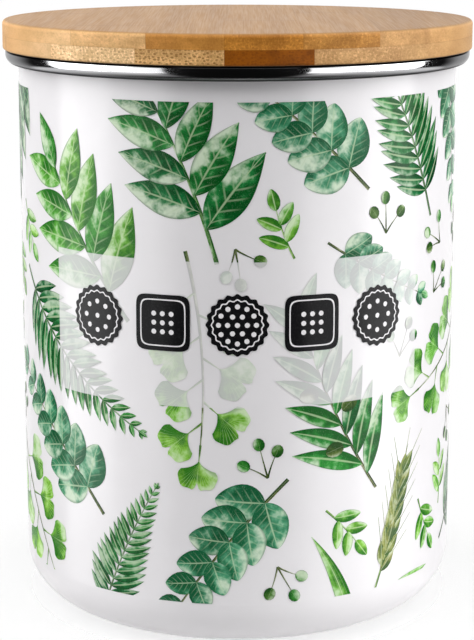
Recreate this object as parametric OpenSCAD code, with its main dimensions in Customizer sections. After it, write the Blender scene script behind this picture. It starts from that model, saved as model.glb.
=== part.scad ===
// Biscuit tin: an enamelled steel can with a crimped steel rim, closed by a bamboo lid.
// The lid is glued up from three plies of bamboo strips, and its plug carries a silicone seal.
// Millimetres, +Z up. The origin is the middle of the base, on the surface that the can stands on.

/* [Can] */
// Outside diameter of the can
can_d = 131; // [100:1:180]
// Height of the rim's top above the table, where the lid rests
can_h = 167; // [90:1:240]
// Thickness of the can wall: steel sheet with an enamel coat on both sides
wall = 0.8; // [0.5:0.1:1.2]
// Outside radius of the rounded bottom corner
base_corner_r = 15; // [6:0.5:22]
// Width of the flat ring that the can stands on
foot_w = 7.5; // [4:0.5:16]
// Height by which the middle of the base is pressed up
base_rise = 1.2; // [0.4:0.1:3]
// Inside radius of the bend that turns the can's lip outwards
lip_bend_r = 1; // [0.6:0.1:1.4]

/* [Rim] */
// How far the steel rim stands out from the can wall
rim_stand = 3.8; // [3:0.1:6]
// Height of the steel rim
rim_h = 4.2; // [4:0.1:8]
// Thickness of the rim's steel sheet
rim_sheet = 0.5; // [0.3:0.05:0.7]
// Outside radius of the curl that tucks the rim in under the lip
rim_curl_r = 2.8; // [1.5:0.1:2.9]
// Outside radius of the rim's upper edge
rim_edge_r = 0.8; // [0.75:0.05:1]

/* [Lid] */
// How far the lid reaches past the steel rim
lid_overhang = 0.7; // [0.5:0.1:4]
// Thickness of the upper ply
upper_ply_t = 4.3; // [3:0.1:8]
// Thickness of the lower ply
lower_ply_t = 4.4; // [3:0.1:8]
// Radius of the lid's upper edge
lid_top_round = 1.2; // [0.5:0.1:2.5]
// Radius of the lid's lower edge
lid_bottom_round = 0.8; // [0.4:0.1:1.2]
// Depth of the plug below the lid
plug_h = 11; // [9:0.5:20]
// Radius of the plug's lower edge
plug_round = 1; // [0.5:0.1:2]
// Gap between the plug and the can wall, which the seal bridges
plug_gap = 2.2; // [1.6:0.1:4]

/* [Bamboo strips] */
// Width of a strip in the upper ply
upper_strip_w = 21; // [15:0.5:30]
// Width of a strip in the lower ply
lower_strip_w = 24; // [15:0.5:30]
// Width of a strip in the plug
plug_strip_w = 24; // [15:0.5:30]
// Place of the glue joint that the upper and lower plies share, right of the middle
lid_joint_x = -3.5; // [-10:0.5:10]
// Place of the plug's middle glue joint, right of the middle
plug_joint_x = 10; // [-10:0.5:10]
// Strips of the upper and lower plies on each side of the shared joint, the outer one cut round
lid_side_strips = 3; // [1:1:3]
// Strips of the plug left of its middle joint
plug_left_strips = 3; // [1:1:3]
// Strips of the plug right of its middle joint
plug_right_strips = 2; // [1:1:2]

/* [Seal] */
// Depth of the seal's groove in the plug
groove_depth = 2.6; // [1.5:0.1:5]
// Height of the seal's groove
groove_h = 5; // [4:0.1:6]
// Distance from the lid's underside down to the groove
groove_drop = 3; // [2.5:0.1:3.5]
// Thickness of one sealing fin
fin_t = 1.1; // [0.8:0.1:1.6]
// How far the seal's band stands out of the groove, between the fins
band_stand = 0.4; // [0.2:0.1:1]

/* [Clearances] */
// Between the rim's sheet and the can, inside the crimp
crimp_gap = 0.05; // [0.02:0.01:0.1]
// Between the seal and its groove, all round
groove_gap = 0.05; // [0.02:0.01:0.1]
// Between the tips of the fins and the can wall
fin_gap = 0.3; // [0.15:0.05:0.5]

/* [Hidden] */
$fn = 96;

// Radii from the axis outwards, and heights from the table upwards
can_r = can_d / 2;
mouth_r = can_r - wall;
rim_r = can_r + rim_stand;
lid_r = rim_r + lid_overhang;
plug_r = mouth_r - plug_gap;
groove_r = plug_r - groove_depth;
base_panel_r = can_r - base_corner_r - foot_w;
lip_top = can_h - rim_sheet;
lip_under = lip_top - wall;
ply_joint_z = can_h + lower_ply_t;
groove_top = can_h - groove_drop;

// Slope of the step between the standing ring and the raised panel: run for each unit of rise
base_step_run = 2;
// How far a cutting box reaches past the solid that it cuts
past = 1;

// Edges of the strips across a ply of radius r, from left to right. The outer two lie past the ply.
function strip_edges(r, joint, w, left, right) =
    concat([-r - past], [for (k = [1 - left : right - 1]) joint + k * w], [r + past]);

upper_edges = strip_edges(lid_r, lid_joint_x, upper_strip_w, lid_side_strips, lid_side_strips);
lower_edges = strip_edges(lid_r, lid_joint_x, lower_strip_w, lid_side_strips, lid_side_strips);
plug_edges = strip_edges(plug_r, plug_joint_x, plug_strip_w, plug_left_strips, plug_right_strips);

upper_count = len(upper_edges) - 1;
lower_count = len(lower_edges) - 1;
plug_count = len(plug_edges) - 1;

// Tones of neighbouring strips, natural bamboo and steamed, taken in turn
BAMBOO_TONES = ["burlywood", "peru", "sandybrown", "chocolate", "tan"];

function tone(i) = BAMBOO_TONES[i % len(BAMBOO_TONES)];

// A quarter of a disc, or of a ring if inner is over zero, in the first quadrant
module quarter(outer, inner = 0) {
    difference() {
        intersection() {
            circle(outer);
            square(outer);
        }
        if (inner > 0) circle(inner);
    }
}

// Half section of a slab of radius r and height h with its lower outer corner rounded
module slab_section(r, h, corner) {
    translate([0, corner]) square([r, h - corner]);
    square([r - corner, corner]);
    translate([r - corner, corner]) mirror([0, 1]) quarter(corner);
}

// Half section of the panel pressed up into the base, which widens downwards
module base_panel_section() {
    run = base_rise * base_step_run;
    polygon([[0, 0], [base_panel_r, 0], [base_panel_r - run, base_rise], [0, base_rise]]);
}

// Half section of the lip: the wall bends outwards and ends in a flat flange
module lip_section() {
    bend_x = can_r + lip_bend_r;
    flange_end = rim_r - rim_edge_r - crimp_gap;
    translate([bend_x, lip_under - lip_bend_r]) mirror([1, 0]) quarter(lip_bend_r + wall, lip_bend_r);
    translate([bend_x, lip_under]) square([flange_end - bend_x, wall]);
}

module can_body() {
    straight_top = lip_under - lip_bend_r;
    color("white") rotate_extrude() {
        difference() {
            slab_section(can_r, straight_top, base_corner_r);
            base_panel_section();
            difference() {
                translate([0, wall]) slab_section(mouth_r, straight_top, base_corner_r - wall);
                translate([0, wall]) base_panel_section();
            }
        }
        lip_section();
    }
}

// The rim is one sheet: it lies on the lip, rounds its edge and curls back under to the wall
module steel_rim() {
    land_in = can_r + lip_bend_r;
    edge_x = rim_r - rim_edge_r;
    edge_z = can_h - rim_edge_r;
    curl_x = rim_r - rim_curl_r;
    curl_z = can_h - rim_h + rim_curl_r;
    tuck_in = can_r + crimp_gap;
    color("silver") rotate_extrude() {
        translate([land_in, lip_top]) square([edge_x - land_in, rim_sheet]);
        translate([edge_x, edge_z]) quarter(rim_edge_r, rim_edge_r - rim_sheet);
        translate([rim_r - rim_sheet, curl_z]) square([rim_sheet, edge_z - curl_z]);
        translate([curl_x, curl_z]) mirror([0, 1]) quarter(rim_curl_r, rim_curl_r - rim_sheet);
        translate([tuck_in, can_h - rim_h]) square([curl_x - tuck_in, rim_sheet]);
    }
}

// The seal is a band that sits in the groove, with two fins that reach for the can wall
module seal_ring() {
    band_in = groove_r + groove_gap;
    band_out = plug_r + band_stand;
    band_h = groove_h - 2 * groove_gap;
    band_z = groove_top - groove_h + groove_gap;
    tip_x = mouth_r - fin_gap - fin_t / 2;
    color("whitesmoke") rotate_extrude() {
        translate([band_in, band_z]) square([band_out - band_in, band_h]);
        for (fin_z = [band_z, band_z + band_h - fin_t]) {
            translate([band_out, fin_z]) square([tip_x - band_out, fin_t]);
            translate([tip_x, fin_z + fin_t / 2]) {
                quarter(fin_t / 2);
                mirror([0, 1]) quarter(fin_t / 2);
            }
        }
    }
}

// What lies between edges i - 1 and i of a ply, which is given as the child
module strip(edges, i) {
    left = edges[i - 1];
    right = edges[i];
    intersection() {
        children();
        translate([left, -lid_r - past, can_h - plug_h - past])
            cube([right - left, 2 * (lid_r + past), plug_h + lower_ply_t + upper_ply_t + 2 * past]);
    }
}

module upper_ply() {
    translate([0, 0, ply_joint_z + upper_ply_t]) mirror([0, 0, 1])
        rotate_extrude() slab_section(lid_r, upper_ply_t, lid_top_round);
}

module lower_ply() {
    translate([0, 0, can_h]) rotate_extrude() slab_section(lid_r, lower_ply_t, lid_bottom_round);
}

module plug_ply() {
    translate([0, 0, can_h - plug_h]) rotate_extrude() difference() {
        slab_section(plug_r, plug_h, plug_round);
        translate([groove_r, plug_h - groove_drop - groove_h]) square([groove_depth + past, groove_h]);
    }
}

module upper_strip(i) {
    color(tone(i)) strip(upper_edges, i) upper_ply();
}

module lower_strip(i) {
    color(tone(i + 2)) strip(lower_edges, i) lower_ply();
}

module plug_strip(i) {
    color(tone(i + 1)) strip(plug_edges, i) plug_ply();
}

can_body();
steel_rim();
seal_ring();
for (i = [1 : upper_count]) upper_strip(i);
for (i = [1 : lower_count]) lower_strip(i);
for (i = [1 : plug_count]) plug_strip(i);
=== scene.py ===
"""Looks of the biscuit tin: white enamel with a leaf print, a steel rim, a bamboo lid and its seal."""
import math
from dataclasses import dataclass, replace

import bmesh
import bpy
import numpy as np
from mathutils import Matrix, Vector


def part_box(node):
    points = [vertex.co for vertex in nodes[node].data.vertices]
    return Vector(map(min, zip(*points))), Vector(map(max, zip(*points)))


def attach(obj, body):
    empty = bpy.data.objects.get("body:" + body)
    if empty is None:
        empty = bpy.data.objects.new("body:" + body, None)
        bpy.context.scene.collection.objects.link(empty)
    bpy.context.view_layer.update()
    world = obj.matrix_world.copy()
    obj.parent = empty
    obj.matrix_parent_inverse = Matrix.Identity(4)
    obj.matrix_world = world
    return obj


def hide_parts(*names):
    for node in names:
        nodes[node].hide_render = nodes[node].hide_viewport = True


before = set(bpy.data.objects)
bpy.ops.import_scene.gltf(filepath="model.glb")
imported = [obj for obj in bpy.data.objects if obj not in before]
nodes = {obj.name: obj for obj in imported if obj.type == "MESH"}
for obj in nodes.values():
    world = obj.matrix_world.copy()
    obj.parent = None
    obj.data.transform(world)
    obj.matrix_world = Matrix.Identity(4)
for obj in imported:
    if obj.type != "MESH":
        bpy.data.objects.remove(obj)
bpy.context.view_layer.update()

# Sizes of the can, its rim and its print are in millimetres, and MM turns them into the scene's metres
MM = 0.001

# Can and print: s runs along the unrolled wall from the front, z up from the table
CAN_R = 65.5
PRINT_LOW = 15.4
PRINT_HIGH = 157.1
PANEL_LOW = 72.5
PANEL_HIGH = 113.5
PANEL_HALF_ANGLE = math.radians(51)
ROUND_THE_CAN = 2 * math.pi * CAN_R

# Rim: its outer sizes come from the frame, and its sheet, bends and gap are those of the CAD
rim_low, rim_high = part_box("steel_rim")
RIM_R = rim_high.x / MM
RIM_TOP = rim_high.z / MM
RIM_LOW = rim_low.z / MM
RIM_SHEET = 0.5
RIM_CURL_R = 2.8
RIM_EDGE_R = 0.8
RIM_LAND_IN = CAN_R + 1.0
RIM_TUCK_IN = CAN_R + 0.05
RIM_TURNS = 300
RIM_SHARP = math.radians(30)

# Ink lies in steps above the enamel, so that shapes that cross never share a surface
INK_LIFT = 0.03
INK_STEP = 0.008
INK_THICK = 0.006
INK_SHARP = math.radians(40)
# Faces are short enough for the wall's curve to fall away by less than one step under each
FACE_LENGTH = 1.6

# Seed of the print's random layout
LAYOUT_SEED = 2
rng = np.random.default_rng(LAYOUT_SEED)

# Camera of the photograph, fitted to the object's edges
CAMERA_PLACE = (-0.00012, -0.5753, 0.2113)
CAMERA_DOWN = math.radians(11.03)
CAMERA_LENS = 107.34
CAMERA_SHIFT_Y = -0.0808


def linear(red, green, blue):
    """Linear colour of an sRGB colour given in steps of 0 to 255."""
    shares = (c / 255 for c in (red, green, blue))
    return tuple(c / 12.92 if c <= 0.04045 else ((c + 0.055) / 1.055) ** 2.4 for c in shares)


def linked(name, data):
    """A new object that is in the scene."""
    piece = bpy.data.objects.new(name, data)
    bpy.context.scene.collection.objects.link(piece)
    return piece


class Nodes:
    """Short calls that add nodes to a tree. Each gives back what its node puts out."""

    def __init__(self, tree):
        self.tree = tree

    def put(self, socket, value):
        """Links an output to a socket, or sets the socket to a number or a colour."""
        if isinstance(value, bpy.types.NodeSocket):
            self.tree.links.new(value, socket)
        elif isinstance(value, tuple) and len(value) == 3 and socket.type == "RGBA":
            socket.default_value = (*value, 1.0)
        else:
            socket.default_value = value

    def add(self, kind, **inputs):
        """A new node with these of its inputs set."""
        node = self.tree.nodes.new(f"ShaderNode{kind}")
        for name, value in inputs.items():
            self.put(node.inputs[name], value)
        return node

    def fill(self, node, values):
        """Sets a node's inputs in their order, and gives back its first output."""
        for socket, value in zip(node.inputs, values):
            self.put(socket, value)
        return node.outputs[0]

    def math(self, operation, *values):
        node = self.add("Math")
        node.operation = operation
        return self.fill(node, values)

    def plus(self, first, second):
        return self.math("ADD", first, second)

    def minus(self, first, second):
        return self.math("SUBTRACT", first, second)

    def times(self, first, second):
        return self.math("MULTIPLY", first, second)

    def least(self, first, second):
        return self.math("MINIMUM", first, second)

    def most(self, first, second):
        return self.math("MAXIMUM", first, second)

    def size(self, value):
        return self.math("ABSOLUTE", value)

    def radius(self, x, y):
        """Distance from the can's axis."""
        return self.math("SQRT", self.plus(self.times(x, x), self.times(y, y)))

    def fade(self, value, start, end, low=0.0, high=1.0):
        """Goes smoothly from low to high as value goes from start to end."""
        node = self.add("MapRange")
        node.interpolation_type = "SMOOTHSTEP"
        return self.fill(node, (value, start, end, low, high))

    def mix(self, share, first, second, blend="MIX"):
        node = self.add("Mix")
        node.data_type = "RGBA"
        node.blend_type = blend
        for number, value in ((0, share), (6, first), (7, second)):
            self.put(node.inputs[number], value)
        return node.outputs[2]

    def shade(self, colour, shares):
        """The colour times a share for each of red, green and blue."""
        return self.mix(1.0, colour, shares, "MULTIPLY")

    def split(self, vector):
        return self.add("SeparateXYZ", Vector=vector).outputs

    def join(self, x, y, z):
        return self.fill(self.add("CombineXYZ"), (x, y, z))

    def stretch(self, vector, scale, offset=(0.0, 0.0, 0.0)):
        return self.add("Mapping", Vector=vector, Location=offset, Scale=scale).outputs[0]

    def noise(self, vector, scale, detail=2.0, roughness=0.5):
        node = self.add("TexNoise", Vector=vector, Scale=scale, Detail=detail, Roughness=roughness)
        return node.outputs[0]

    def cells(self, vector, scale, spread):
        """(distance to the nearest cell's middle, that cell's own number), from the vector's x and y."""
        node = self.add("TexVoronoi", Vector=vector, Scale=scale, Randomness=spread)
        node.voronoi_dimensions = "2D"
        return node.outputs["Distance"], self.split(node.outputs["Color"])[0]

    def bump(self, height, depth, under=None):
        node = self.add("Bump", Height=height, Distance=depth)
        if under is not None:
            self.put(node.inputs["Normal"], under)
        return node.outputs[0]

    def attribute(self, name):
        node = self.add("Attribute")
        node.attribute_name = name
        return node.outputs["Color"]

    def uv(self, name):
        node = self.add("UVMap")
        node.uv_map = name
        return node.outputs[0]


class Graph(Nodes):
    """The nodes of a new material, with its shader and the piece's own place and normal."""

    def __init__(self, name):
        self.material = bpy.data.materials.new(name)
        self.material.use_nodes = True
        super().__init__(self.material.node_tree)
        self.tree.nodes.clear()
        self.shader = self.add("BsdfPrincipled")
        self.add("OutputMaterial", Surface=self.shader.outputs["BSDF"])
        coordinates = self.add("TexCoord").outputs
        self.place = coordinates["Object"]
        self.normal = coordinates["Normal"]

    def finish(self, **values):
        """Sets the shader's sockets, with _ for a space in a name, and gives back the material."""
        for name, value in values.items():
            self.put(self.shader.inputs[name.replace("_", " ")], value)
        return self.material


# Enamel: depths of bumps are in metres, here and in the other finishes
ENAMEL_WHITE = (0.865, 0.846, 0.865)
ENAMEL_CLOUD = tuple(c * 0.975 for c in ENAMEL_WHITE)
ENAMEL_ROUGHNESS = 0.21
ROUGHNESS_SPREAD = 0.03
WAVE_DEPTH = 9e-6
PEEL_DEPTH = 1.2e-6


def glaze(graph):
    """The fired surface that enamel and print share: (roughness, normal)."""
    waves = graph.noise(graph.place, scale=170.0, detail=2.0)
    peel = graph.noise(graph.place, scale=900.0, detail=1.0)
    normal = graph.bump(peel, PEEL_DEPTH, graph.bump(waves, WAVE_DEPTH))
    smooth = ENAMEL_ROUGHNESS - ROUGHNESS_SPREAD
    rough = ENAMEL_ROUGHNESS + ROUGHNESS_SPREAD
    roughness = graph.fade(graph.noise(graph.place, scale=60.0, detail=3.0), 0.3, 0.7, smooth, rough)
    return roughness, normal


def enamel_finish():
    graph = Graph("enamel")
    roughness, normal = glaze(graph)
    cloud = graph.noise(graph.place, scale=45.0, detail=3.0)
    colour = graph.mix(graph.fade(cloud, 0.35, 0.65), ENAMEL_WHITE, ENAMEL_CLOUD)
    return graph.finish(Base_Color=colour, Roughness=roughness, Normal=normal)


# Steel
STEEL_BRIGHT = (0.70, 0.70, 0.71)
STEEL_SMEARED = (0.62, 0.62, 0.635)
# Painted shade: near black where the lid sits on the rim, for the shadow in the gap
STEEL_GAP_SHADE = (0.03, 0.03, 0.03)
# Painted shade: dark where the curl faces down under the lip
STEEL_UNDER_SHADE = (0.09, 0.09, 0.094)
# What is left of the steel's gloss where it is seen edge on
STEEL_EDGE = (0.5, 0.5, 0.5)
# Heights between which the steel turns to painted shade of the gap, just below the land that the lid sits on
RIM_SHADE_LOW = (RIM_TOP - 0.64) * MM
RIM_SHADE_FULL = (RIM_TOP - 0.44) * MM
TUCKED_ROUGHNESS = 0.5
# How finely the marks lie across the rim, along which they only drift
MARK_STRETCH = 60.0
MARK_DEPTH = 4e-8


def steel_finish():
    """Polished sheet with fine marks that run round the rim. It is painted near black where the lid sits, as
    painted shade of the gap, and rough and painted dark where it faces down under the lip, as painted shade."""
    graph = Graph("polished_steel")
    x, y, z = graph.split(graph.place)
    across = graph.times(graph.radius(x, y), MARK_STRETCH)
    turned = graph.join(across, graph.times(z, MARK_STRETCH), graph.noise(graph.place, scale=30.0))
    marks = graph.noise(turned, scale=160.0, detail=3.0)
    smears = graph.noise(graph.place, scale=70.0, detail=3.0)
    facing_down = graph.fade(graph.split(graph.normal)[2], -0.60, -0.82)
    colour = graph.mix(graph.fade(smears, 0.3, 0.75), STEEL_BRIGHT, STEEL_SMEARED)
    # Painted shade: near black where the lid sits, for the gap under it
    colour = graph.mix(graph.fade(z, RIM_SHADE_LOW, RIM_SHADE_FULL), colour, STEEL_GAP_SHADE)
    # Painted shade: dark where the curl faces down under the lip, which is also rougher
    colour = graph.mix(facing_down, colour, STEEL_UNDER_SHADE)
    roughness = graph.fade(graph.plus(marks, graph.times(smears, 0.6)), 0.5, 1.1, 0.07, 0.13)
    roughness = graph.most(roughness, graph.times(facing_down, TUCKED_ROUGHNESS))
    return graph.finish(
        Base_Color=colour, Metallic=1.0, Specular_Tint=STEEL_EDGE, Roughness=roughness,
        Normal=graph.bump(marks, MARK_DEPTH),
    )


# Silicone
SILICONE_CLEAR = (0.78, 0.78, 0.76)
SILICONE_HAZY = (0.71, 0.715, 0.70)
SILICONE_GRAIN_DEPTH = 4e-6


def silicone_finish():
    graph = Graph("silicone")
    haze = graph.noise(graph.place, scale=120.0, detail=3.0)
    grain = graph.noise(graph.place, scale=2500.0, detail=1.0)
    colour = graph.mix(graph.fade(haze, 0.3, 0.7), SILICONE_CLEAR, SILICONE_HAZY)
    roughness = graph.fade(haze, 0.2, 0.8, 0.38, 0.52)
    return graph.finish(
        Base_Color=colour, Roughness=roughness, Normal=graph.bump(grain, SILICONE_GRAIN_DEPTH),
        Subsurface_Weight=0.35, Subsurface_Radius=(1.0, 0.95, 0.9), Subsurface_Scale=0.002,
    )


# Bamboo

@dataclass
class Strip:
    """How one bamboo strip looks: the colour of its ends, the strength of dark dots and pale flecks there,
    the place of its knot along Y, and how light its sides are."""
    ends: tuple
    dots: float
    flecks: float
    knot: float
    grain: float = 1.0


STRIPS = {
    "upper": [
        Strip(linear(230, 188, 134), 0.08, 0.15, 0.020, 1.02),
        Strip(linear(221, 175, 117), 0.14, 0.25, -0.034),
        Strip(linear(200, 139, 64), 0.10, 0.15, 0.041, 0.97),
        Strip(linear(182, 120, 44), 0.22, 0.60, -0.012, 0.98),
        Strip(linear(179, 123, 54), 0.22, 0.55, 0.027, 0.96),
        Strip(linear(193, 146, 90), 0.15, 0.40, -0.045, 0.87),
    ],
    "lower": [
        Strip(linear(232, 197, 150), 0.06, 0.15, -0.018, 1.02),
        Strip(linear(237, 199, 148), 0.50, 0.85, 0.030),
        Strip(linear(208, 163, 104), 0.80, 0.60, -0.040),
        Strip(linear(141, 77, 4), 0.28, 0.15, 0.015, 0.95),
        Strip(linear(193, 149, 97), 0.25, 0.70, -0.027),
        Strip(linear(199, 155, 101), 0.18, 0.40, 0.038, 0.79),
    ],
    "plug": [
        Strip(linear(228, 186, 132), 0.35, 0.30, 0.033),
        Strip(linear(212, 164, 106), 0.40, 0.40, -0.021, 0.95),
        Strip(linear(226, 182, 126), 0.35, 0.30, 0.012),
        Strip(linear(184, 128, 66), 0.30, 0.40, -0.038, 0.90),
        Strip(linear(214, 168, 112), 0.35, 0.30, 0.026, 0.97),
    ],
}
# Seed of each ply's fibre pattern, to which a strip adds its number
PLY_SEEDS = {"upper": 50, "lower": 50, "plug": 40}
SEED_STEPS = (0.37, 0.23, 0.11)

LONG_GRAIN = linear(209, 162, 108)
# Shares of a strip's colour on its broad faces, which are painted shade, and in its marks
BROAD_FACE_SHADE = (0.66, 0.655, 0.65)
DARK_MARK = (0.42, 0.32, 0.20)
LIGHT_BAND = (1.10, 1.12, 1.15)
DEEP_BAND = (0.94, 0.92, 0.89)
LIGHT_BLOTCH = (1.14, 1.14, 1.16)
DARK_BLOTCH = (0.86, 0.83, 0.76)
STREAK = (0.72, 0.66, 0.58)
PALE_RING = (1.16, 1.20, 1.28)
PALE_FLECK = (1.40, 1.50, 1.70)
# Colour, radii and heights of the ring of painted shade on the lid's underside, where it sits on the rim
LID_GAP_SHADE = (0.012, 0.010, 0.008)
LID_SHADE_IN = (RIM_R - 0.7) * MM
LID_SHADE_OUT = (RIM_R - 0.1) * MM
LID_SHADE_TOP = (RIM_TOP + 0.32) * MM
LID_SHADE_FULL = (RIM_TOP + 0.08) * MM
# Metres: how far fibres wander and wobble, the width of glue lines, knots and the lines beside them
WANDER = 0.0016
WOBBLE = 0.0005
GLUE_LINE = 0.00014
KNOT_WAVE = 0.003
KNOT_HALF = 0.0016
KNOT_CORE = 0.0004
KNOT_LINE_OFF = 0.0022
KNOT_LINE_HALF = 0.0009
FIBRES_PER_METRE = 820.0
BAMBOO_DEPTH = 1.6e-5
BAMBOO_SHINE = 0.2


class Bamboo(Graph):
    """The material of a bamboo strip, with the patterns that follow its fibres along Y."""

    def __init__(self, node, seed):
        super().__init__(f"bamboo_{node}")
        self.low, self.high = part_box(node)
        self.own_place = self.stretch(self.place, (1.0, 1.0, 1.0), tuple(seed * step for step in SEED_STEPS))
        x, y, z = self.split(self.own_place)
        wander = self.noise(self.stretch(self.own_place, (30.0, 9.0, 30.0)), scale=1.0, detail=1.0)
        bent_x = self.plus(x, self.times(wander, WANDER))
        bent = self.join(bent_x, y, z)
        wobble = self.times(self.minus(self.noise(self.own_place, scale=700.0, detail=1.0), 0.5), WOBBLE)
        fibres = self.join(self.plus(bent_x, wobble), self.times(z, 1.4), 0.0)
        gap, own = self.cells(fibres, FIBRES_PER_METRE, spread=0.75)
        self.bundles = self.times(self.fade(gap, 0.42, 0.18), self.fade(own, 0.0, 0.7, 0.35, 1.0))
        self.rings = self.times(self.fade(gap, 0.30, 0.42), self.fade(gap, 0.62, 0.46))
        self.streaks = self.noise(self.stretch(bent, (1.0, 0.012, 1.0)), 2600.0, 3.0, 0.6)
        self.specks = self.noise(self.stretch(bent, (1.0, 0.03, 0.7)), 1900.0, 1.0)
        self.bands = self.noise(self.stretch(bent, (1.0, 0.05, 1.0)), 160.0, 2.0)

    def blotched(self, colour):
        """The colour in blotches, where the ends of the fibres drank unevenly."""
        blotch = self.noise(self.stretch(self.own_place, (1.0, 0.1, 1.5)), scale=140.0, detail=2.0)
        dark = self.shade(colour, DARK_BLOTCH)
        return self.mix(self.fade(blotch, 0.36, 0.64), self.shade(colour, LIGHT_BLOTCH), dark)

    def knot(self, place):
        """Shares of a knot, a narrow darker band across the strip, and of the pale lines beside it."""
        wave = self.times(self.noise(self.own_place, scale=90.0), KNOT_WAVE)
        off = self.size(self.minus(self.plus(self.split(self.place)[1], wave), place))
        beside = self.size(self.minus(off, KNOT_LINE_OFF))
        lines = self.fade(beside, KNOT_LINE_HALF, 0.0, 0.0, 0.2)
        return self.fade(off, KNOT_HALF, KNOT_CORE, 0.0, 0.22), lines

    def glue(self):
        """Share of the glue, which shows as a hairline at the joints."""
        x, _, z = self.split(self.place)
        side = self.least(self.minus(x, self.low.x), self.minus(self.high.x, x))
        face = self.least(self.minus(z, self.low.z), self.minus(self.high.z, z))
        return self.fade(self.least(side, face), GLUE_LINE, 0.0, 0.0, 0.25)

    def gap_shade(self):
        """Share of the near black ring of painted shade on the lid's underside, where it sits on the steel
        rim.
        """
        x, y, z = self.split(self.place)
        return self.times(self.fade(self.radius(x, y), LID_SHADE_IN, LID_SHADE_OUT), self.fade(z, LID_SHADE_TOP, LID_SHADE_FULL))


def bamboo_finish(node, look, seed):
    """Solid bamboo: fibre bundles show as dots on the ends and as streaks elsewhere."""
    graph = Bamboo(node, seed)
    _, facing, upward = graph.split(graph.normal)
    # The ends of the fibres drink more oil than their sides, each strip by its own share
    ends = graph.fade(graph.size(facing), 0.30, 0.90)
    colour = graph.mix(ends, tuple(c * look.grain for c in LONG_GRAIN), look.ends)
    # Painted shade: the broad faces, top and bottom, are darker and greyer than the edge, to hold back the
    # strong light that falls on the top
    broad_face_shade = graph.fade(graph.size(upward), 0.50, 0.96)
    colour = graph.mix(broad_face_shade, colour, graph.shade(colour, BROAD_FACE_SHADE))
    dark = graph.shade(colour, DARK_MARK)
    light = graph.shade(colour, LIGHT_BAND)
    colour = graph.mix(graph.fade(graph.bands, 0.3, 0.7), light, graph.shade(colour, DEEP_BAND))
    colour = graph.mix(ends, colour, graph.blotched(colour))
    # Marks of the fibres are strongest on the ends
    streak = graph.times(graph.fade(graph.streaks, 0.42, 0.75), graph.fade(ends, 0.0, 1.0, 0.06, 0.55))
    dots = graph.fade(ends, 0.0, 1.0, 0.05, look.dots)
    flecks = graph.times(graph.fade(graph.specks, 0.52, 0.66), graph.times(ends, look.flecks))
    colour = graph.mix(streak, colour, graph.shade(colour, STREAK))
    colour = graph.mix(graph.times(graph.rings, dots), colour, graph.shade(colour, PALE_RING))
    colour = graph.mix(graph.times(graph.bundles, dots), colour, dark)
    colour = graph.mix(flecks, colour, graph.shade(colour, PALE_FLECK))
    knot, knot_lines = graph.knot(look.knot)
    colour = graph.mix(knot, colour, dark)
    colour = graph.mix(knot_lines, colour, light)
    colour = graph.mix(graph.glue(), colour, dark)
    # Painted shade: a near black ring under the lid where it sits on the rim
    colour = graph.mix(graph.gap_shade(), colour, LID_GAP_SHADE)
    roughness = graph.fade(graph.streaks, 0.3, 0.8, 0.42, 0.60)
    height = graph.minus(graph.streaks, graph.times(graph.bundles, 0.5))
    return graph.finish(
        Base_Color=colour, Roughness=roughness, Specular_IOR_Level=BAMBOO_SHINE,
        Normal=graph.bump(height, BAMBOO_DEPTH),
    )


# Ink of the print and the label
PANEL_SOFT = 0.12 * MM
PANEL_VEIL = 0.66
PRINT_SHINE = 0.15
INK_BLACK = (0.006, 0.006, 0.007)
# How much lighter ink is where it lies thin
INK_THIN = 0.012
# Shares of a leaf's tint in its deep wash, and the colours that its pale wash and its veins lean to
DEEP_WASH = (0.12, 0.33, 0.24)
PALE_WASH = (0.88, 0.95, 0.78)
VEIN = (0.82, 0.90, 0.62)


def panel_share(graph):
    """1 on the label panel, where the print is lightened, and 0 elsewhere."""
    x, y, z = graph.split(graph.place)
    low = PANEL_LOW * MM
    high = PANEL_HIGH * MM
    half = CAN_R * MM * math.sin(PANEL_HALF_ANGLE)
    share = graph.fade(z, low - PANEL_SOFT, low + PANEL_SOFT)
    share = graph.times(share, graph.fade(z, high + PANEL_SOFT, high - PANEL_SOFT))
    share = graph.times(share, graph.fade(graph.size(x), half + PANEL_SOFT, half - PANEL_SOFT))
    return graph.times(share, graph.math("LESS_THAN", y, 0.0))


def print_finish(graph, colour):
    """Ink has the enamel's surface, but shines less."""
    roughness, normal = glaze(graph)
    return graph.finish(
        Base_Color=colour, Roughness=roughness, Specular_IOR_Level=PRINT_SHINE, Normal=normal,
    )


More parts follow.
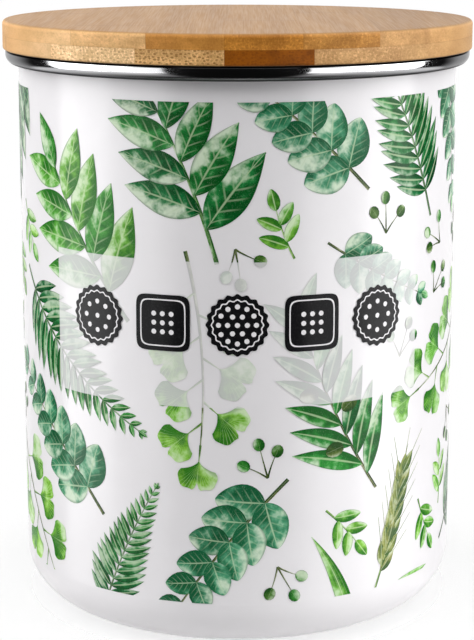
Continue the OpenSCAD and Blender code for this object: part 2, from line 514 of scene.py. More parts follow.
def leaf_finish(name, veins, slope, rib, vein_strength, bloom):
    """Watercolour: a wash that runs from deep to pale, veins left light, and pigment gathered at the edge.
    veins is their count along the leaf, slope their lean, rib the midrib's half width, and bloom how pale
    the wash gets."""
    graph = Graph(name)
    u, across, _ = graph.split(graph.uv("leaf"))
    side = graph.minus(graph.times(across, 2.0), 1.0)
    off = graph.size(side)
    tint = graph.attribute("tint")
    wash = graph.noise(graph.place, 260.0, 3.0, 0.55)
    pool = graph.noise(graph.place, 90.0, 2.0)
    grit = graph.noise(graph.place, 3200.0, 2.0, 0.7)
    deep = graph.shade(tint, DEEP_WASH)
    pale = graph.mix(bloom, tint, PALE_WASH)
    level = graph.plus(graph.times(wash, 0.75), graph.times(pool, 0.55))
    level = graph.plus(level, graph.times(side, 0.16))
    level = graph.plus(level, graph.times(u, 0.14))
    colour = graph.mix(graph.fade(level, 0.56, 0.84), deep, tint)
    colour = graph.mix(graph.fade(level, 0.73, 0.95), colour, pale)
    phase = graph.minus(graph.times(u, veins), graph.times(off, slope))
    line = graph.size(graph.minus(graph.math("FRACT", phase), 0.5))
    line = graph.times(graph.fade(line, 0.16, 0.02), graph.fade(off, 0.95, 0.35, 0.0, vein_strength))
    line = graph.most(line, graph.fade(off, rib, rib * 0.3, 0.0, 0.7))
    colour = graph.mix(line, colour, graph.mix(0.55, tint, VEIN))
    colour = graph.mix(graph.fade(off, 0.80, 1.0, 0.0, 0.55), colour, deep)
    colour = graph.mix(graph.fade(grit, 0.55, 0.8, 0.0, 0.22), colour, pale)
    colour = graph.mix(graph.times(panel_share(graph), PANEL_VEIL), colour, ENAMEL_WHITE)
    return print_finish(graph, colour)


def ink_finish(name, colour):
    graph = Graph(name)
    grit = graph.noise(graph.place, 1800.0, 3.0, 0.7)
    thin = tuple(c + INK_THIN for c in colour)
    return print_finish(graph, graph.mix(graph.fade(grit, 0.45, 0.8), colour, thin))


# Print: flat shapes on the unrolled wall, in millimetres, which are rolled onto the can at the end

@dataclass
class Shape:
    """A patch of ink: points (s, z), their places along and across the leaf from 0 to 1, a colour and
    faces."""
    kind: str
    layer: int
    places: np.ndarray
    along: np.ndarray
    across: np.ndarray
    colour: np.ndarray
    faces: list


class Spine:
    """A curved line: it leaves base along heading, and its tip swings to the left by bend times its
    length."""

    def __init__(self, base, heading, length, bend=0.0):
        self.base = np.asarray(base, float)
        self.length = length
        self.bend = bend
        self.ahead = np.array([math.cos(heading), math.sin(heading)])
        self.left = np.array([-self.ahead[1], self.ahead[0]])

    def at(self, share):
        """(points, unit directions) at these shares of the length."""
        share = np.atleast_1d(share)[:, None]
        points = self.base + self.length * (share * self.ahead + self.bend * share ** 2 * self.left)
        forward = self.ahead + 2 * self.bend * share * self.left
        return points, forward / np.linalg.norm(forward, axis=1, keepdims=True)

    def mark(self, share):
        """(point, heading) at one share of the length."""
        points, forward = self.at(share)
        return points[0], math.atan2(forward[0, 1], forward[0, 0])


def sheet(kind, layer, grid, along, side, colour):
    """A shape from a grid of points, with rows along the leaf and columns across it from right to left."""
    rows, cols = grid.shape[:2]
    corners = [(r * cols + c, (r + 1) * cols + c) for r in range(rows - 1) for c in range(cols - 1)]
    faces = [(a, b, b + 1, a + 1) for a, b in corners]
    across = np.tile(side / 2 + 0.5, rows)
    return Shape(kind, layer, grid.reshape(-1, 2), np.repeat(along, cols), across, colour, faces)


# Share of its width that a leaf keeps at its ends
LEAST_WIDTH = 0.04


def blade(kind, layer, spine, width, colour, outline):
    """A leaf or a stem along a spine. outline gives its share of the width along it."""
    rows = max(6, math.ceil(spine.length / FACE_LENGTH * math.pi / 2))
    cols = max(2, 2 * math.ceil(width / 2 / FACE_LENGTH))
    along = 0.5 - 0.5 * np.cos(np.pi * np.linspace(0, 1, rows + 1))
    side = np.linspace(-1, 1, cols + 1)
    half = width / 2 * np.maximum(outline(along), LEAST_WIDTH)
    middle, forward = spine.at(along)
    left = np.column_stack([-forward[:, 1], forward[:, 0]])
    grid = middle[:, None] + left[:, None] * (half[:, None] * side)[:, :, None]
    return sheet(kind, layer, grid, along, side, colour)


def fan(kind, layer, base, heading, reach, colour):
    """A fan-shaped leaf with rounded corners and a notch in the middle of its wavy edge."""
    spread = 1.05
    rows = 8
    cols = 28
    along = np.linspace(0.02, 1, rows + 1)
    side = np.linspace(-1, 1, cols + 1)
    edge = 1 - 0.38 * np.abs(side) ** 5 - 0.30 * np.exp(-(side / 0.07) ** 2) + 0.03 * np.cos(13 * side)
    turn = heading + spread * side * along[:, None] ** 0.35
    far = reach * edge * along[:, None]
    grid = np.asarray(base) + np.stack([far * np.cos(turn), far * np.sin(turn)], axis=2)
    return sheet(kind, layer, grid, along, side, colour)


def patch(kind, layer, middle, reach, colour, rings, spokes, size=1.0, hole=0.0):
    """A filled outline round middle. reach gives its radius by angle, size scales it, and hole is the share
    that is left open."""
    angle = 2 * np.pi * np.arange(spokes) / spokes
    shares = np.linspace(hole, 1, rings + 1)[0 if hole else 1:]
    rays = np.column_stack([np.cos(angle), np.sin(angle)]) * size * reach(angle)[:, None]
    places = [np.asarray(middle) + rays * share for share in shares]
    along = np.repeat(shares, spokes)
    following = [(a, (a + 1) % spokes) for a in range(spokes)]
    starts = [k * spokes for k in range(len(shares) - 1)]
    faces = [(k + a, k + a + spokes, k + b + spokes, k + b) for k in starts for a, b in following]
    if not hole:
        places.append(np.asarray([middle]))
        along = np.append(along, 0.0)
        faces += [(len(along) - 1, a, b) for a, b in following]
    return Shape(kind, layer, np.concatenate(places), along, np.full(len(along), 0.5), colour, faces)


# Outlines: the share of a leaf's width at a share t of its length

def lance(t):
    return np.sin(np.pi * t ** 0.8) ** 0.9


def oval(t):
    return np.sin(np.pi * t ** 0.85) ** 0.62


def thread(t):
    return 1.0 - 0.65 * t


def bead(t):
    return np.sqrt(np.clip(1 - (2 * t - 1) ** 2, 0, 1))


# Colours of the print
PINE = linear(14, 110, 64)
LEAF = linear(56, 158, 60)
LIME = linear(148, 208, 68)
SAGE = linear(90, 168, 128)
MOSS = linear(96, 122, 50)
STRAW = linear(158, 160, 76)
BARK = linear(110, 100, 56)
# Each use of a colour is lighter or darker by a share between these
TONES = (0.85, 1.15)

# Layers from the enamel up: stems, leaves, which take theirs in turn so that neighbours never share one,
# fruits and tips, the label's ink, and the white on it
STEM_LAYER = 0
LEAF_LAYERS = 10
FRUIT_LAYER = LEAF_LAYERS + 1
INK_LAYER = LEAF_LAYERS + 2
HOLE_LAYER = LEAF_LAYERS + 3
UP = math.pi / 2


def leaf_layer(number):
    return 1 + number % LEAF_LAYERS


def blend(first, second, share):
    """A colour between two, a little lighter or darker each time."""
    mixed = np.array(first) * (1 - share) + np.array(second) * share
    return np.append(mixed * rng.uniform(*TONES), 1.0)


def spaced(number, count, first, span):
    """Share of a stem's length at which this one of count leaves stands, from first on over span."""
    return first + span * number / (count - 1)


def alternate(number, last=None):
    """-1 or 1 in turn, for leaves on the two sides of a stem, and 0 for the last one, at its tip."""
    if number == last:
        return 0
    return 1 if number % 2 else -1


def stem(kind, spine, width, colour):
    return blade(kind, STEM_LAYER, spine, width, colour, thread)


def upright(length, bend):
    """A spine that stands upright round the origin."""
    return Spine((0.0, -length / 2), UP, length, bend)


def ahead(point, heading, reach):
    """The place at this reach from a point."""
    return point + reach * np.array([math.cos(heading), math.sin(heading)])


# Motifs of the print, upright round the origin

def fern(bend):
    """A frond with narrow leaflets in pairs."""
    length = 66.0
    pairs = 17
    spine = upright(length, bend)
    shapes = [stem("fern", spine, 1.0, blend(PINE, MOSS, 0.4))]
    for pair in range(pairs):
        share = spaced(pair, pairs, 0.13, 0.85)
        point, heading = spine.mark(share)
        reach = length * 0.29 * (1 - share) ** 0.75 * min(1.0, 0.45 + 2.2 * share) + 1.2
        for turn in (-1, 1):
            lean = heading + turn * (1.16 - 0.38 * share) + rng.uniform(-0.05, 0.05)
            leaf = Spine(point, lean, reach, -turn * 0.10)
            colour = blend(PINE, LEAF, share)
            shapes.append(blade("fern", leaf_layer(pair), leaf, reach * 0.20 + 0.9, colour, lance))
    point, heading = spine.mark(0.97)
    tip = Spine(point, heading, 3.4)
    shapes.append(blade("fern", FRUIT_LAYER, tip, 1.4, blend(PINE, LEAF, 1.0), lance))
    return shapes


def eucalyptus(bend):
    """A branch with round leaves in pairs."""
    length = 58.0
    pairs = 7
    spine = upright(length, bend)
    shapes = [stem("eucalyptus", spine, 1.1, blend(MOSS, BARK, 0.6))]
    for pair in range(pairs):
        share = spaced(pair, pairs, 0.16, 0.78)
        point, heading = spine.mark(share)
        reach = 15.5 - 9.5 * share
        for turn in (-1, 1):
            lean = heading + turn * (0.98 - 0.2 * share) + rng.uniform(-0.1, 0.1)
            leaf = Spine(point, lean, reach, turn * 0.05)
            colour = blend(SAGE, PINE, rng.uniform(0.0, 0.45))
            layer = leaf_layer(2 * pair + (turn > 0))
            shapes.append(blade("eucalyptus", layer, leaf, reach * 0.76, colour, oval))
    point, heading = spine.mark(0.99)
    tip = Spine(point, heading, 6.0)
    shapes.append(blade("eucalyptus", FRUIT_LAYER, tip, 3.6, blend(SAGE, LIME, 0.3), oval))
    return shapes


def olive(bend):
    """A twig with slim leaves in turn and a few fruits."""
    length = 58.0
    leaves = 15
    greens = (LEAF, PINE) if rng.random() < 0.5 else (LIME, LEAF)
    spine = upright(length, bend)
    shapes = [stem("olive", spine, 1.0, blend(BARK, MOSS, 0.3))]
    for number in range(leaves):
        share = spaced(number, leaves, 0.10, 0.86)
        turn = alternate(number)
        point, heading = spine.mark(share)
        reach = 23.0 - 10.5 * share + rng.uniform(-1.5, 1.5)
        leaf = Spine(point, heading + turn * (0.74 - 0.25 * share), reach, turn * 0.10)
        colour = blend(*greens, rng.uniform(0.0, 0.8))
        shapes.append(blade("olive", leaf_layer(number), leaf, 6.0 - 1.5 * share, colour, lance))
    for share, turn in ((0.30, 1), (0.46, -1), (0.60, 1)):
        point, heading = spine.mark(share)
        lean = heading + turn * 1.35
        fruit = Spine(ahead(point, lean, 2.2), lean, 5.8)
        colour = blend(MOSS, BARK, rng.uniform(0.0, 0.6))
        shapes.append(blade("berry", FRUIT_LAYER, fruit, 4.4, colour, bead))
    return shapes


def laurel(bend):
    """A twig with large pointed leaves in turn."""
    length = 50.0
    leaves = 9
    greens = (PINE, LEAF) if rng.random() < 0.5 else (LEAF, LIME)
    spine = upright(length, bend)
    shapes = [stem("laurel", spine, 1.3, blend(MOSS, LEAF, 0.5))]
    for number in range(leaves):
        share = spaced(number, leaves, 0.20, 0.78)
        turn = alternate(number, leaves - 1)
        point, heading = spine.mark(share)
        reach = 27.0 - 9.0 * share + rng.uniform(-1.5, 1.5)
        leaf = Spine(point, heading + turn * (0.95 - 0.30 * share), reach, turn * 0.08)
        colour = blend(*greens, rng.uniform(0.0, 0.75))
        shapes.append(blade("laurel", leaf_layer(number), leaf, reach * 0.42, colour, lance))
    return shapes


def ginkgo(bend):
    """A twig with fan-shaped leaves on stalks."""
    length = 54.0
    leaves = 8
    spine = upright(length, bend)
    shapes = [stem("ginkgo", spine, 1.1, blend(BARK, MOSS, 0.7))]
    for number in range(leaves):
        share = spaced(number, leaves, 0.22, 0.78)
        turn = alternate(number, leaves - 1)
        point, heading = spine.mark(share)
        lean = heading + turn * (1.15 - 0.35 * share)
        stalk = 7.5 - 2.5 * share
        shapes.append(stem("ginkgo", Spine(point, lean, stalk), 0.7, blend(MOSS, LIME, 0.5)))
        reach = 11.8 - 3.0 * share
        colour = blend(LIME, LEAF, rng.uniform(0.0, 0.55))
        end = ahead(point, lean, stalk * 0.9)
        shapes.append(fan("ginkgo", leaf_layer(number), end, lean, reach, colour))
    return shapes


def wheat(bend):
    """An ear on a stalk with two long leaves."""
    length = 66.0
    grains = 19
    spine = upright(length, bend)
    shapes = [stem("wheat", spine, 1.1, blend(MOSS, LIME, 0.3))]
    for share, turn, reach in ((0.16, 0.46, 0.56), (0.30, -0.44, 0.44)):
        point, heading = spine.mark(share)
        leaf = Spine(point, heading + turn, length * reach, turn * 0.8)
        colour = blend(LEAF, LIME, 0.5)
        shapes.append(blade("wheat", leaf_layer(int(10 * share)), leaf, 5.0, colour, lance))
    for number in range(grains):
        share = spaced(number, grains, 0.54, 0.43)
        turn = (-1, 1, 0)[number % 3]
        point, heading = spine.mark(share)
        lean = heading + turn * 0.42
        awn = Spine(point, lean, 15.0, turn * 0.05)
        shapes.append(stem("wheat", awn, 0.36, blend(STRAW, MOSS, 0.4)))
        colour = blend(STRAW, MOSS, rng.uniform(0.0, 0.7))
        grain = Spine(point, lean, 7.6)
        shapes.append(blade("wheat", leaf_layer(number + 4), grain, 3.5, colour, lance))
    return shapes


def sprig(bend):
    """A short shoot with a few pale leaves, which fills a gap between the sprays."""
    length = 15.0
    spine = upright(length, bend)
    shapes = [stem("olive", spine, 0.7, blend(MOSS, LIME, 0.5))]
    for number, (share, turn) in enumerate(((0.25, 1), (0.35, -1), (0.6, 1), (0.68, -1), (0.95, 0))):
        point, heading = spine.mark(share)
        leaf = Spine(point, heading + turn * 0.75, 9.5 - 3.5 * share, turn * 0.08)
        colour = blend(LIME, LEAF, rng.uniform(0.1, 0.6))
        shapes.append(blade("olive", leaf_layer(number), leaf, 3.6, colour, oval))
    return shapes


def berries(bend):
    """Three small fruits on forked stalks, which fill a gap between the sprays."""
    shapes = []
    for lean, reach in ((-0.55, 6.5), (bend, 8.5), (0.6, 6.0)):
        stalk = Spine((0.0, -5.0), UP + lean, reach, lean * 0.2)
        shapes.append(stem("berry", stalk, 0.6, blend(MOSS, BARK, 0.5)))
        end, heading = stalk.mark(0.96)
        colour = blend(LEAF, MOSS, rng.uniform(0.2, 0.9))
        shapes.append(blade("berry", FRUIT_LAYER, Spine(end, heading, 3.8), 3.4, colour, bead))
    return shapes


class Wall:
    """Which parts of the unrolled wall are taken, and which are near those, in cells of about a millimetre.
    GAP is the room kept round a motif, NEAR what counts as near it, and MARGIN what lies above and below."""

    MARGIN = 80
    GAP = 2
    NEAR = 6

    def __init__(self):
        self.round = int(ROUND_THE_CAN)
        self.taken = np.zeros((self.round, int(PRINT_HIGH) + 2 * self.MARGIN), bool)
        self.near = self.taken.copy()

    def cells(self, points):
        """(columns, rows) of the cells that these points lie in."""
        column = np.floor(points[:, 0] * self.round / ROUND_THE_CAN).astype(int)
        return column % self.round, np.floor(points[:, 1]).astype(int) + self.MARGIN

    def snugness(self, points):
        """The share of these points that lie near what is there already, or -1 if any would touch it."""
        cells = self.cells(points)
        return -1.0 if self.taken[cells].any() else self.near[cells].mean()

    def take(self, points):
        """Marks the cells round these points as taken, and those further off as near."""
        column, row = self.cells(points)
        for grid, reach in ((self.taken, self.GAP), (self.near, self.NEAR)):
            steps = range(-reach, reach + 1)
            for right, up in ((a, b) for a in steps for b in steps if math.hypot(a, b) <= reach):
                grid[(column + right) % self.round, row + up] = True


SPRAYS = (laurel, fern, eucalyptus, ginkgo, olive, wheat)
FILLERS = (sprig, berries)
# Passes of the layout: motifs, how many of them, their scale, and the least share of each inside the print
PASSES = ((SPRAYS, 36, 1.0, 0.55), (SPRAYS, 30, 0.7, 0.7), (FILLERS, 60, 1.0, 1.0))
TRIES = 500
MAX_LEAN = 1.0
BENDS = (0.06, 0.22)
# How far past the print's edges a motif's middle may lie
PAST_EDGE = 8.0


def rotated(points, turn):
    return points @ np.array([[math.cos(turn), math.sin(turn)], [-math.sin(turn), math.cos(turn)]])


def toss(wall, motifs, count, scale, least_inside):
    """Lays up to count motifs, taken in turn and scaled, each at the snuggest of many random places and
    leans. At least the share least_inside of a motif lies between the print's edges."""
    laid = []
    for number in range(count):
        bend = rng.uniform(*BENDS) * rng.choice((-1, 1))
        drawing = motifs[number % len(motifs)](bend)
        drawing = [replace(shape, places=scale * shape.places) for shape in drawing]
        outline = np.concatenate([shape.places for shape in drawing])
        best = -1.0
        for _ in range(TRIES):
            at = rng.uniform((0.0, PRINT_LOW - PAST_EDGE), (ROUND_THE_CAN, PRINT_HIGH + PAST_EDGE))
            turn = rng.uniform(-MAX_LEAN, MAX_LEAN) + math.pi * rng.integers(2)
            placed = rotated(outline, turn) + at
            inside = np.mean((placed[:, 1] > PRINT_LOW) & (placed[:, 1] < PRINT_HIGH))
            snugness = wall.snugness(placed)
            if inside >= least_inside and snugness > best:
                best = snugness
                chosen = at, turn
        if best >= 0:
            at, turn = chosen
            placed = [replace(shape, places=rotated(shape.places, turn) + at) for shape in drawing]
            wall.take(np.concatenate([shape.places for shape in placed]))
            laid += placed
    return laid


def wrapped(flat):
    """Points (s, z, height) in millimetres, rolled onto the can, in metres."""
    out = CAN_R + flat[:, 2]
    angle = flat[:, 0] / CAN_R
    return MM * np.column_stack([out * np.sin(angle), -out * np.cos(angle), flat[:, 1]])


def cut_to_band(shapes):
    """The shapes' faces inside the print's upper and lower edges: (places, leaf coordinates, tints,
    faces)."""
    places = np.concatenate([np.insert(s.places, 2, INK_LIFT + INK_STEP * s.layer, axis=1) for s in shapes])
    leaf = np.concatenate([np.column_stack([s.along, s.across, 0 * s.along]) for s in shapes])
    tints = np.concatenate([np.tile(s.colour, (len(s.places), 1)) for s in shapes])
    starts = np.cumsum([0] + [len(s.places) for s in shapes])
    faces = [tuple(start + i for i in face) for start, s in zip(starts, shapes) for face in s.faces]
    mesh = bpy.data.meshes.new("cutting")
    mesh.from_pydata(places.tolist(), [], faces)
    mesh.attributes.new("leaf", "FLOAT_VECTOR", "POINT").data.foreach_set("vector", leaf.ravel())
    mesh.attributes.new("tint", "FLOAT_COLOR", "POINT").data.foreach_set("color", tints.ravel())
    cut = bmesh.new()
    cut.from_mesh(mesh)
    for edge, way in ((PRINT_HIGH, 1), (PRINT_LOW, -1)):
        everything = cut.verts[:] + cut.edges[:] + cut.faces[:]
        bmesh.ops.bisect_plane(
            cut, geom=everything, plane_co=(0, edge, 0), plane_no=(0, way, 0), clear_outer=True,
        )
    cut.to_mesh(mesh)
    cut.free()
    count = len(mesh.vertices)
    places = np.empty(count * 3, np.float32)
    leaf = np.empty(count * 3, np.float32)
    tints = np.empty(count * 4, np.float32)
    mesh.vertices.foreach_get("co", places)
    mesh.attributes["leaf"].data.foreach_get("vector", leaf)
    mesh.attributes["tint"].data.foreach_get("color", tints)
    faces = [tuple(face.vertices) for face in mesh.polygons]
    bpy.data.meshes.remove(mesh)
    return places.reshape(-1, 3).astype(float), leaf.reshape(-1, 3), tints.reshape(-1, 4), faces


def closed(faces, count):
    """The faces, the same faces turned over on the points that follow, and walls along every open edge."""
    edges = {(a, b) for face in faces for a, b in zip(face, face[1:] + face[:1])}
    walls = [(b, a, a + count, b + count) for a, b in edges if (b, a) not in edges]
    return faces + [tuple(i + count for i in reversed(face)) for face in faces] + sorted(walls)


def make_ink(name, shapes, material):
    """Rolls shapes onto the can as thin closed flakes."""
    places, leaf, tints, faces = cut_to_band(shapes)
    under = places - np.array([0.0, 0.0, INK_THICK])
    points = np.concatenate([wrapped(places), wrapped(under)])
    mesh = bpy.data.meshes.new(name)
    mesh.from_pydata(points.tolist(), [], closed(faces, len(places)))
    colours = mesh.attributes.new("tint", "FLOAT_COLOR", "POINT")
    colours.data.foreach_set("color", np.concatenate([tints, tints]).ravel())
    corners = np.empty(len(mesh.loops), np.int32)
    mesh.loops.foreach_get("vertex_index", corners)
    both = np.concatenate([leaf, leaf])[:, :2]
    mesh.uv_layers.new(name="leaf").data.foreach_set("uv", both[corners].astype(np.float32).ravel())
    mesh.shade_smooth()
    mesh.set_sharp_from_angle(angle=INK_SHARP)
    mesh.materials.append(material)
    piece = linked(name, mesh)
    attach(piece, "can")


# Biscuit pictograms on the label panel, in millimetres
PICTOGRAM_R = 8.8
PICTOGRAM_PITCH = 21.0
PICTOGRAM_Z = 96.0
# Places in the row, counted from the middle one
PICTOGRAM_PLACES = range(-2, 3)
# Size of the white line inside a biscuit, as a share of the biscuit, and of what lies within the line, as a
# share of the line
LINE_OUT = 0.84
LINE_IN = 0.945
# Round biscuits have a wavy edge with this many waves, and square ones have rounded corners
WAVES = 20
WAVE_SHARE = 0.035
SQUARE_SHARE = 0.90
SQUARE_POWER = 7.0
HOLE_R = 0.72
HOLE_PITCH = 2.55
NO_TINT = np.array([0.0, 0.0, 0.0, 1.0])


def round_biscuit(angle):
    return PICTOGRAM_R * (1 - WAVE_SHARE + WAVE_SHARE * np.cos(WAVES * angle))


def square_biscuit(angle):
    powers = np.abs(np.cos(angle)) ** SQUARE_POWER + np.abs(np.sin(angle)) ** SQUARE_POWER
    return SQUARE_SHARE * PICTOGRAM_R / powers ** (1 / SQUARE_POWER)


def round_hole(angle):
    return np.full(len(angle), HOLE_R)


def ring_of(count, reach):
    """Places on a circle round the origin."""
    turns = 2 * np.pi * np.arange(count) / count
    return list(reach * np.column_stack([np.cos(turns), np.sin(turns)]))


def holes_of(place):
    """Middles of the holes, from the biscuit's own middle, for the biscuit at this place in the row."""
    if place == 0:
        return ring_of(12, 5.2) + ring_of(6, 2.7) + ring_of(1, 0.0)
    if place % 2:
        return [HOLE_PITCH * np.array([a, b]) for a in (-1, 0, 1) for b in (-1, 0, 1)]
    return ring_of(8, 4.1) + ring_of(1, 0.0)


def draw_label():
    """(black biscuits, white lines and holes): round and square ones in turn."""
    black = []
    white = []
    for place in PICTOGRAM_PLACES:
        middle = np.array([place * PICTOGRAM_PITCH, PICTOGRAM_Z])
        outline = square_biscuit if place % 2 else round_biscuit
        black.append(patch("ink", INK_LAYER, middle, outline, NO_TINT, rings=6, spokes=160))
        line = patch(
            "holes", HOLE_LAYER, middle, outline, NO_TINT, rings=1, spokes=96, size=LINE_OUT, hole=LINE_IN,
        )
        white.append(line)
        for hole in holes_of(place):
            white.append(patch("holes", HOLE_LAYER, middle + hole, round_hole, NO_TINT, rings=1, spokes=20))
    return black, white


# Rim: the CAD's section turned in fine steps, because a mirror shows every facet

def arc(middle, radius, start, end, steps):
    """Points (radius, z) along an arc between two angles in degrees."""
    angle = np.radians(np.linspace(start, end, steps + 1))
    return np.asarray(middle) + radius * np.column_stack([np.cos(angle), np.sin(angle)])


def rim_section():
    """The rim's sheet in section: out along its land, down its wall and in under the curl, then back
    inside."""
    edge = (RIM_R - RIM_EDGE_R, RIM_TOP - RIM_EDGE_R)
    curl = (RIM_R - RIM_CURL_R, RIM_LOW + RIM_CURL_R)
    return np.concatenate([
        [(RIM_LAND_IN, RIM_TOP)],
        arc(edge, RIM_EDGE_R, 90, 0, steps=10),
        arc(curl, RIM_CURL_R, 0, -90, steps=24),
        [(RIM_TUCK_IN, RIM_LOW), (RIM_TUCK_IN, RIM_LOW + RIM_SHEET)],
        arc(curl, RIM_CURL_R - RIM_SHEET, -90, 0, steps=24),
        arc(edge, RIM_EDGE_R - RIM_SHEET, 0, 90, steps=6),
        [(RIM_LAND_IN, RIM_TOP - RIM_SHEET)],
    ])


def make_rim():
    section = rim_section()
    count = len(section)
    angle = 2 * np.pi * np.arange(RIM_TURNS) / RIM_TURNS
    radius, height = MM * section.T
    x = np.cos(angle)[:, None] * radius
    y = np.sin(angle)[:, None] * radius
    z = np.tile(height, (RIM_TURNS, 1))
    following = [(k, (k + 1) % count) for k in range(count)]
    starts = [(t * count, (t + 1) % RIM_TURNS * count) for t in range(RIM_TURNS)]
    faces = [(here + a, here + b, there + b, there + a) for here, there in starts for a, b in following]
    mesh = bpy.data.meshes.new("rim")
    mesh.from_pydata(np.stack([x, y, z], axis=2).reshape(-1, 3).tolist(), [], faces)
    mesh.shade_smooth()
    mesh.set_sharp_from_angle(angle=RIM_SHARP)
    mesh.materials.append(steel_finish())
    rim = linked("rim", mesh)
    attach(rim, "can")
    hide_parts("steel_rim")


# Materials of the CAD pieces

def dress(node, material):
    """Gives a CAD piece its material."""
    piece = nodes[node]
    piece.data.materials.clear()
    piece.data.materials.append(material)


dress("can_body", enamel_finish())
dress("seal_ring", silicone_finish())
make_rim()
for ply, looks in STRIPS.items():
    for number, look in enumerate(looks, start=1):
        node = f"{ply}_strip_{number}"
        dress(node, bamboo_finish(node, look, PLY_SEEDS[ply] + number))

# Print and label
LEAF_LOOKS = {
    "fern": dict(veins=1.0, slope=0.0, rib=0.22, vein_strength=0.0, bloom=0.50),
    "eucalyptus": dict(veins=6.0, slope=1.6, rib=0.07, vein_strength=0.30, bloom=0.70),
    "olive": dict(veins=1.0, slope=0.0, rib=0.16, vein_strength=0.0, bloom=0.65),
    "laurel": dict(veins=7.0, slope=1.4, rib=0.08, vein_strength=0.40, bloom=0.70),
    "ginkgo": dict(veins=0.0, slope=9.0, rib=0.02, vein_strength=0.45, bloom=0.62),
    "wheat": dict(veins=0.0, slope=2.5, rib=0.12, vein_strength=0.30, bloom=0.50),
    "berry": dict(veins=0.0, slope=0.0, rib=0.02, vein_strength=0.0, bloom=0.60),
}
wall = Wall()
printed = []
for motifs, count, scale, least_inside in PASSES:
    printed += toss(wall, motifs, count, scale, least_inside)
for kind, look in LEAF_LOOKS.items():
    shapes = [shape for shape in printed if shape.kind == kind]
    make_ink(f"print_{kind}", shapes, leaf_finish(f"ink_{kind}", **look))
label_black, label_white = draw_label()
make_ink("label_biscuits", label_black, ink_finish("ink_black", INK_BLACK))
make_ink("label_holes", label_white, ink_finish("ink_white", ENAMEL_WHITE))

# Stage, in metres: a pale floor that fades into a white surround, and soft boxes

FLOOR_HALF = 0.2
FLOOR_Z = -0.00005
# The floor covers this much as far as one radius, and nothing from the other on
FLOOR_COVER = 0.3
FLOOR_SOLID_R = 0.058
FLOOR_GONE_R = 0.100
PAPER_LIGHT = (0.87, 0.87, 0.87)
PAPER_GREY = (0.84, 0.84, 0.84)


def make_floor():
    """Paper that is seen from above only and casts no shadow."""
    mesh = bpy.data.meshes.new("floor")
    signs = ((-1, -1), (1, -1), (1, 1), (-1, 1))
    corners = [(x * FLOOR_HALF, y * FLOOR_HALF, FLOOR_Z) for x, y in signs]
    mesh.from_pydata(corners, [], [(0, 1, 2, 3)])
    graph = Graph("paper")
    x, y, _ = graph.split(graph.place)
    tone = graph.mix(graph.noise(graph.place, scale=12.0), PAPER_LIGHT, PAPER_GREY)
    from_below = graph.add("NewGeometry").outputs["Backfacing"]
    cover = graph.fade(graph.radius(x, y), FLOOR_GONE_R, FLOOR_SOLID_R, 0.0, FLOOR_COVER)
    cover = graph.times(cover, graph.minus(1.0, from_below))
    mesh.materials.append(graph.finish(Base_Color=tone, Roughness=0.9, Alpha=cover))
    floor = linked("floor", mesh)
    floor.visible_shadow = False


make_floor()

# Height of the middle of the can, at which the lights are aimed
AIM_Z = 0.09


def soft_box(name, azimuth, elevation, distance, width, height, power, diffuse=True, glossy=True):
    """An area light aimed at the can's middle. Azimuth 0 is the camera's side, positive to the right. It can
    be left out of what lights surfaces or out of what they mirror."""
    light = bpy.data.lights.new(name, "AREA")
    light.shape = "RECTANGLE"
    light.size = width
    light.size_y = height
    light.energy = power
    lamp = linked(name, light)
    turn = math.radians(azimuth)
    rise = math.radians(elevation)
    away = np.array([math.sin(turn) * math.cos(rise), -math.cos(turn) * math.cos(rise), math.sin(rise)])
    lamp.location = away * distance + np.array([0.0, 0.0, AIM_Z])
    lamp.rotation_euler = (math.pi / 2 - rise, 0.0, turn)
    lamp.visible_camera = False
    lamp.visible_diffuse = diffuse
    lamp.visible_glossy = glossy


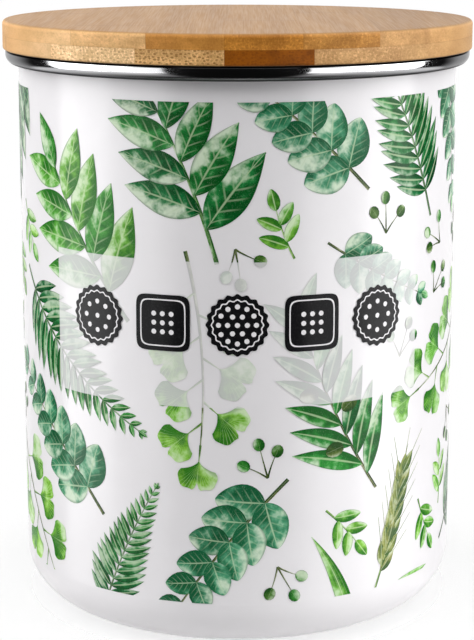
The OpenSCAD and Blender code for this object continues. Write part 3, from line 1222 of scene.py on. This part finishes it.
# Degrees round and up, metres away, metres wide and tall, and watts
soft_box("left_shine", -50.0, 0.0, 0.95, 0.52, 0.8, 1.95, diffuse=False)
soft_box("right_shine", 49.0, 0.0, 0.95, 0.52, 0.8, 2.05, diffuse=False)
soft_box("left_side", -83.0, 0.0, 0.95, 0.58, 0.8, 5.3)
soft_box("right_side", 82.0, 0.0, 0.95, 0.58, 0.8, 4.95)
soft_box("left_high", -80.0, 38.0, 1.05, 1.0, 0.9, 8.8)
soft_box("right_high", 80.0, 38.0, 1.05, 1.0, 0.9, 8.4)
soft_box("front_top", 0.0, 64.0, 1.0, 0.9, 0.7, 5.0)
soft_box("back", 180.0, 24.0, 1.2, 1.6, 0.8, 1.5)
soft_box("back_low", 180.0, -4.0, 1.2, 1.0, 0.24, 4.0, glossy=False)
soft_box("front_low", 28.0, -38.0, 0.45, 0.3, 0.2, 0.7, glossy=False)
soft_box("below", 0.0, -90.0, 0.6, 0.4, 0.4, 0.6, glossy=False)

# How bright the room is that gloss mirrors
ROOM_DARK = 0.004
ROOM_BEHIND = 1.03
ROOM_BELOW = 0.95


def make_world():
    """White where the camera sees past the object. Reflections find a dark room that is white behind the
    object and grey low down, except in front."""
    world = bpy.data.worlds.new("studio")
    world.use_nodes = True
    bpy.context.scene.world = world
    graph = Nodes(world.node_tree)
    x, y, z = graph.split(graph.add("TexCoord").outputs["Generated"])
    behind = graph.fade(y, 0.48, 1.05, 0.0, ROOM_BEHIND)
    aside = graph.fade(graph.math("DIVIDE", y, graph.radius(x, y)), -0.84, -0.66)
    below = graph.times(graph.fade(z, -0.36, -0.50), graph.fade(z, -0.45, -1.0, ROOM_BELOW, 0.0))
    ray = graph.add("LightPath").outputs
    glow = graph.times(graph.most(behind, graph.times(aside, below)), ray["Is Glossy Ray"])
    level = graph.most(graph.plus(glow, ROOM_DARK), ray["Is Camera Ray"])
    graph.put(graph.tree.nodes["Background"].inputs["Color"], graph.join(level, level, level))


make_world()
bpy.context.scene.view_settings.view_transform = "Standard"

lens = bpy.data.cameras.new("camera")
lens.lens = CAMERA_LENS
lens.shift_y = CAMERA_SHIFT_Y
camera = linked("camera", lens)
camera.location = CAMERA_PLACE
camera.rotation_euler = (math.pi / 2 - CAMERA_DOWN, 0.0, 0.0)
bpy.context.scene.camera = camera
